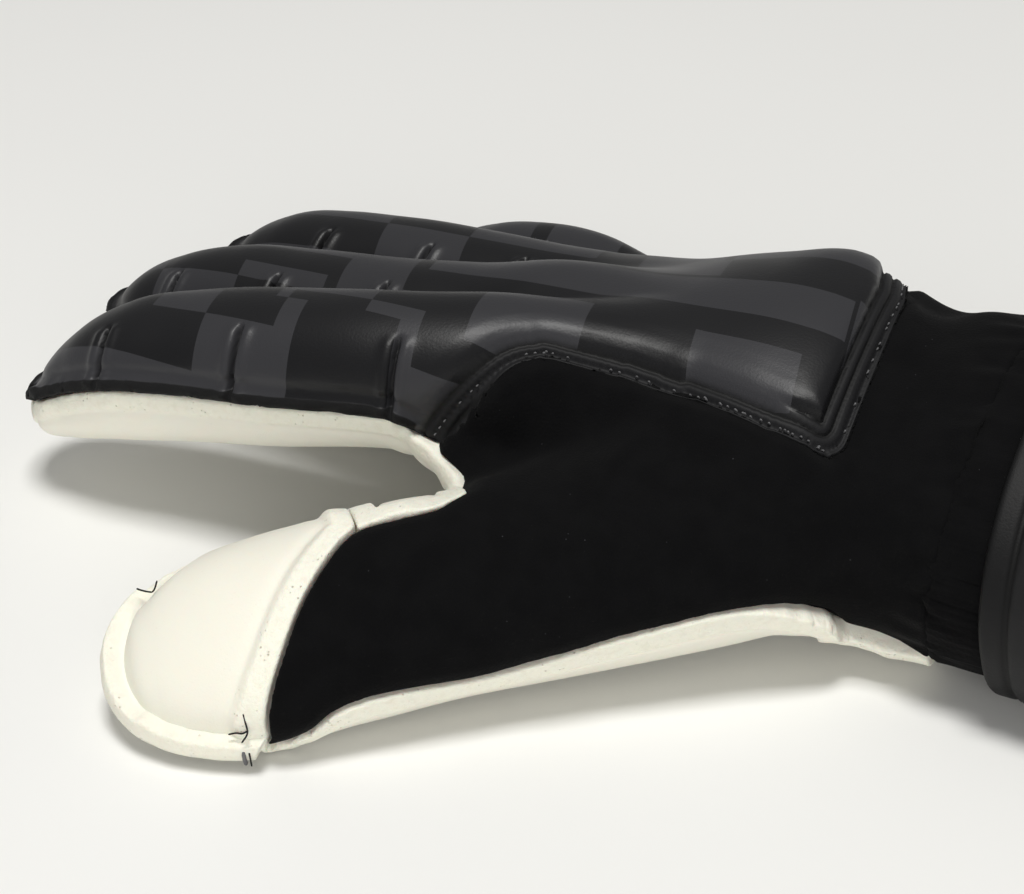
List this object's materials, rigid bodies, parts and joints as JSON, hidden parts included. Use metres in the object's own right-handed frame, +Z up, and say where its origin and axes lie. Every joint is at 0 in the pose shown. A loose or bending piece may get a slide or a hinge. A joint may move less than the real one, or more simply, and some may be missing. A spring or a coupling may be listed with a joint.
{
  "type": "soccer goalkeeper glove",
  "caption": "Right-hand goalkeeper glove lying palm down: thick foam palm, moulded back panel, fabric thumb back, capped thumb and a strapped elastic wrist",
  "frame": {"origin": "centre of the glove's footprint on the surface that it lies on", "axes": "+X from the fingertips to the wrist, -Y towards the thumb, +Z up from the palm side to the back of the hand"},
  "size_m": [0.2639, 0.1878, 0.059],
  "materials": {
    "latex_foam": "soft matt latex foam, off-white, with a slight sheen",
    "moulded_back": "smooth moulded synthetic over foam, dark grey and black blocks, satin",
    "knit_fabric": "black padded knit, fine nap, matt",
    "elastic_cuff": "black ribbed elastic, matt",
    "strap_webbing": "smooth black strap with a stitched border, satin"
  },
  "bodies": {
    "root": {"palm_latex": "latex_foam", "thumb_cap": "latex_foam", "backhand_panel": "moulded_back", "body_fabric": "knit_fabric", "wrist_cuff": "elastic_cuff", "wrist_strap": "strap_webbing"}
  },
  "joints": []
}
